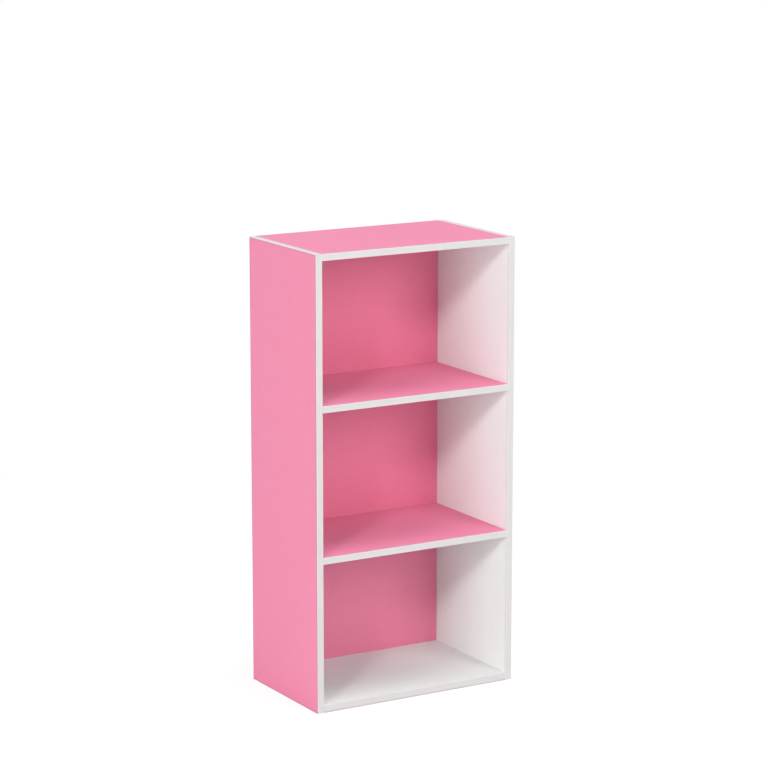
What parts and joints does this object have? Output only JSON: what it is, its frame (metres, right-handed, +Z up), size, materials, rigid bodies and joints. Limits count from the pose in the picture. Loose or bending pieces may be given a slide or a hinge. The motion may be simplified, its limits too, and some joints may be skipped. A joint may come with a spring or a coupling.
{
  "type": "open bookcase",
  "caption": "Narrow open bookcase of laminated board: two full-height sides, a top, fixed shelves, a raised bottom and a thin nailed-on back.",
  "frame": {"origin": "on the floor, at the middle of the footprint", "axes": "+Z up, the open front faces -Y, +X to the right of a person facing the front"},
  "size_m": [0.3978, 0.2398, 0.8],
  "materials": {
    "laminated_board": "satin melamine, pink on one face and white on the other",
    "edge_band": "satin white edge band",
    "back_board": "thin fibreboard, pink paper face, bare brown rear",
    "connecting_screw": "bright zinc plate",
    "cap": "satin moulded plastic in the boards' pink",
    "nail": "bright steel"
  },
  "bodies": {
    "root": {"left_side_panel": "laminated_board", "right_side_panel": "laminated_board", "top_panel": "laminated_board", "upper_shelf": "laminated_board", "lower_shelf": "laminated_board", "bottom_panel": "laminated_board", "back_panel": "back_board", "left_side_front_band": "edge_band", "left_side_top_band": "edge_band", "left_screw_caps": "cap", "right_side_front_band": "edge_band", "right_side_top_band": "edge_band", "right_screw_caps": "cap", "top_panel_front_band": "edge_band", "top_panel_screws": "connecting_screw", "upper_shelf_front_band": "edge_band", "upper_shelf_screws": "connecting_screw", "lower_shelf_front_band": "edge_band", "lower_shelf_screws": "connecting_screw", "bottom_panel_front_band": "edge_band", "bottom_panel_screws": "connecting_screw", "back_panel_nails": "nail"}
  },
  "joints": []
}
